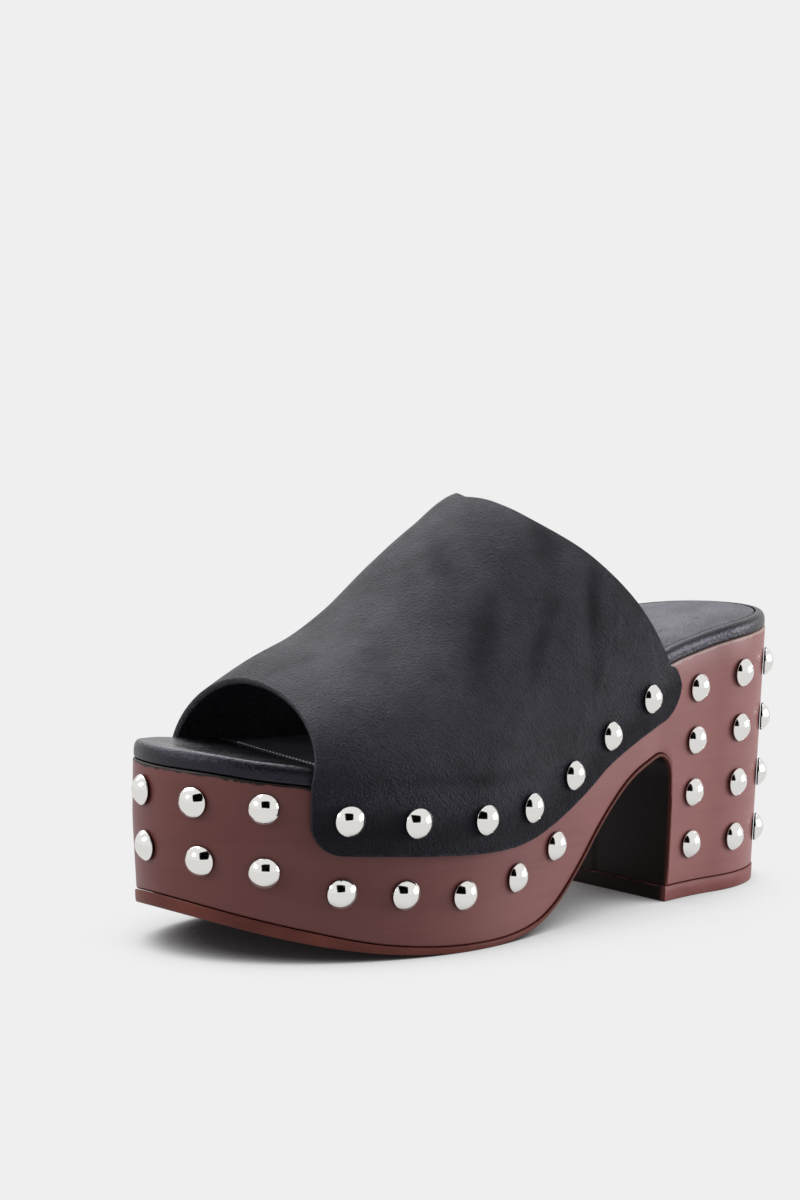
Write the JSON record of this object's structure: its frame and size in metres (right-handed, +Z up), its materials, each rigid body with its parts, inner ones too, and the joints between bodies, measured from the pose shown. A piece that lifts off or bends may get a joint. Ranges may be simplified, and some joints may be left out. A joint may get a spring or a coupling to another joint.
{
  "type": "platform sandal",
  "caption": "Open-toe, backless platform sandal for the left foot, with a wide leather vamp, a wooden platform with an arch and block heel, and domed metal studs.",
  "frame": {"origin": "on the floor, below the middle of the sandal's bounding box", "axes": "+X toward the outer side of the left foot, +Y from toe to heel, +Z up"},
  "size_m": [0.105, 0.2474, 0.1294],
  "materials": {
    "wood": "stained red-brown, semi-gloss",
    "outsole": "smooth satin",
    "heel_lift": "smooth satin",
    "footbed_leather": "satin, wrapped over padding",
    "sock_leather": "satin, fine grain",
    "upper_leather": "satin, fine creased grain",
    "stud_metal": "polished"
  },
  "bodies": {
    "root": {"platform": "wood", "outsole": "outsole", "heel_lift": "heel_lift", "footbed": "footbed_leather", "insole": "sock_leather", "upper": "upper_leather", "stud_vamp_outer_1": "stud_metal", "stud_vamp_outer_2": "stud_metal", "stud_vamp_outer_3": "stud_metal", "stud_vamp_outer_4": "stud_metal", "stud_vamp_outer_5": "stud_metal", "stud_vamp_outer_6": "stud_metal", "stud_vamp_outer_7": "stud_metal", "stud_vamp_inner_1": "stud_metal", "stud_vamp_inner_2": "stud_metal", "stud_vamp_inner_3": "stud_metal", "stud_vamp_inner_4": "stud_metal", "stud_vamp_inner_5": "stud_metal", "stud_vamp_inner_6": "stud_metal", "stud_wood_outer_1": "stud_metal", "stud_wood_outer_2": "stud_metal", "stud_wood_outer_3": "stud_metal", "stud_wood_outer_4": "stud_metal", "stud_wood_outer_5": "stud_metal", "stud_toe_high_1": "stud_metal", "stud_toe_high_2": "stud_metal", "stud_toe_high_3": "stud_metal", "stud_toe_high_4": "stud_metal", "stud_toe_low_1": "stud_metal", "stud_toe_low_2": "stud_metal", "stud_toe_low_3": "stud_metal", "stud_toe_low_4": "stud_metal", "stud_heel_1_1": "stud_metal", "stud_heel_1_2": "stud_metal", "stud_heel_1_3": "stud_metal", "stud_heel_1_4": "stud_metal", "stud_heel_2_1": "stud_metal", "stud_heel_2_2": "stud_metal", "stud_heel_2_3": "stud_metal", "stud_heel_2_4": "stud_metal", "stud_heel_3_1": "stud_metal", "stud_heel_3_2": "stud_metal", "stud_heel_3_3": "stud_metal", "stud_heel_3_4": "stud_metal", "stud_heel_4_1": "stud_metal", "stud_heel_4_2": "stud_metal", "stud_heel_4_3": "stud_metal", "stud_heel_4_4": "stud_metal", "stud_heel_5_1": "stud_metal", "stud_heel_5_2": "stud_metal", "stud_heel_5_3": "stud_metal", "stud_heel_5_4": "stud_metal", "stud_heel_6_1": "stud_metal", "stud_heel_6_2": "stud_metal", "stud_heel_6_3": "stud_metal", "stud_heel_6_4": "stud_metal", "stud_heel_7_1": "stud_metal", "stud_heel_7_2": "stud_metal", "stud_heel_7_3": "stud_metal", "stud_heel_7_4": "stud_metal"}
  },
  "joints": []
}
